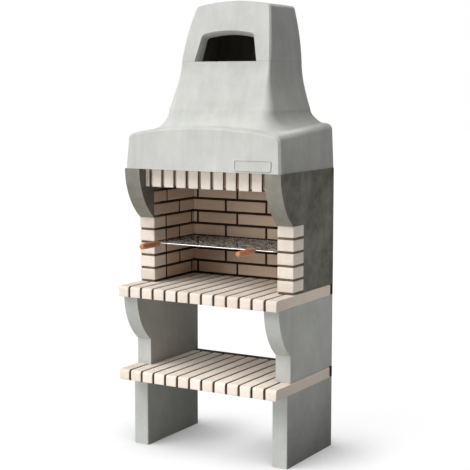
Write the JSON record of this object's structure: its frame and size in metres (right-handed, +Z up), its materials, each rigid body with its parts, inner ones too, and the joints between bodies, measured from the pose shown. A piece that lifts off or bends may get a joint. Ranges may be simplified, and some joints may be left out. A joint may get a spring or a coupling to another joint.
{
  "type": "outdoor masonry barbecue",
  "caption": "Free-standing masonry barbecue: brick-lined fire chamber with a sliding wire grill under a flared concrete hood and chimney cap, over a brick table and shelf.",
  "frame": {"origin": "on the ground, under the middle of the footprint", "axes": "+X from the left side to the right side as seen from the front, +Y from front to back, +Z up"},
  "size_m": [0.9, 0.611, 2.245],
  "materials": {
    "hood_concrete": "matt cast concrete, light grey",
    "cap_concrete": "matt cast concrete, light grey",
    "panel_concrete": "matt cast concrete, dark grey with a cloudy tone",
    "leg_concrete": "matt cast concrete, mid grey",
    "slab_brick": "matt cream brick with a pink tone",
    "wall_brick": "matt cream brick with a pink tone",
    "lining_brick": "matt cream firebrick",
    "mortar": "rough dark mortar",
    "grill_steel": "bright plated steel",
    "ferrule_metal": "plain steel",
    "handle_wood": "oiled orange-brown wood"
  },
  "bodies": {
    "masonry": {"shelf_brick_01": "slab_brick", "shelf_brick_02": "slab_brick", "shelf_brick_03": "slab_brick", "shelf_brick_04": "slab_brick", "shelf_brick_05": "slab_brick", "shelf_brick_06": "slab_brick", "shelf_brick_07": "slab_brick", "shelf_brick_08": "slab_brick", "shelf_brick_09": "slab_brick", "shelf_brick_10": "slab_brick", "shelf_brick_11": "slab_brick", "shelf_brick_12": "slab_brick", "shelf_brick_13": "slab_brick", "shelf_mortar": "mortar", "table_brick_01": "slab_brick", "table_brick_02": "slab_brick", "table_brick_03": "slab_brick", "table_brick_04": "slab_brick", "table_brick_05": "slab_brick", "table_brick_06": "slab_brick", "table_brick_07": "slab_brick", "table_brick_08": "slab_brick", "table_brick_09": "slab_brick", "table_brick_10": "slab_brick", "table_brick_11": "slab_brick", "table_brick_12": "slab_brick", "table_brick_13": "slab_brick", "table_mortar": "mortar", "lower_leg_left": "leg_concrete", "upper_leg_left": "leg_concrete", "side_wall_left": "panel_concrete", "side_mortar_left": "mortar", "lining_bricks_left_lower": "lining_brick", "pillar_bricks_left_lower": "wall_brick", "lining_bricks_left_upper": "lining_brick", "pillar_bricks_left_upper": "wall_brick", "lower_leg_right": "leg_concrete", "upper_leg_right": "leg_concrete", "side_wall_right": "panel_concrete", "side_mortar_right": "mortar", "lining_bricks_right_lower": "lining_brick", "pillar_bricks_right_lower": "wall_brick", "lining_bricks_right_upper": "lining_brick", "pillar_bricks_right_upper": "wall_brick", "back_wall": "panel_concrete", "back_mortar": "mortar", "back_lining_bricks": "lining_brick", "lintel_beam": "mortar", "lintel_bricks": "wall_brick", "hood": "hood_concrete", "chimney_cap": "cap_concrete"},
    "grill": {"grill_frame": "grill_steel", "grill_wires": "grill_steel", "handle_ferrules": "ferrule_metal", "handle_left": "handle_wood", "handle_right": "handle_wood"}
  },
  "joints": [
    {"name": "grill_slide", "type": "slide", "parent": "masonry", "child": "grill", "axis": [0, -1, 0], "range_m": [0, 0.3]}
  ]
}
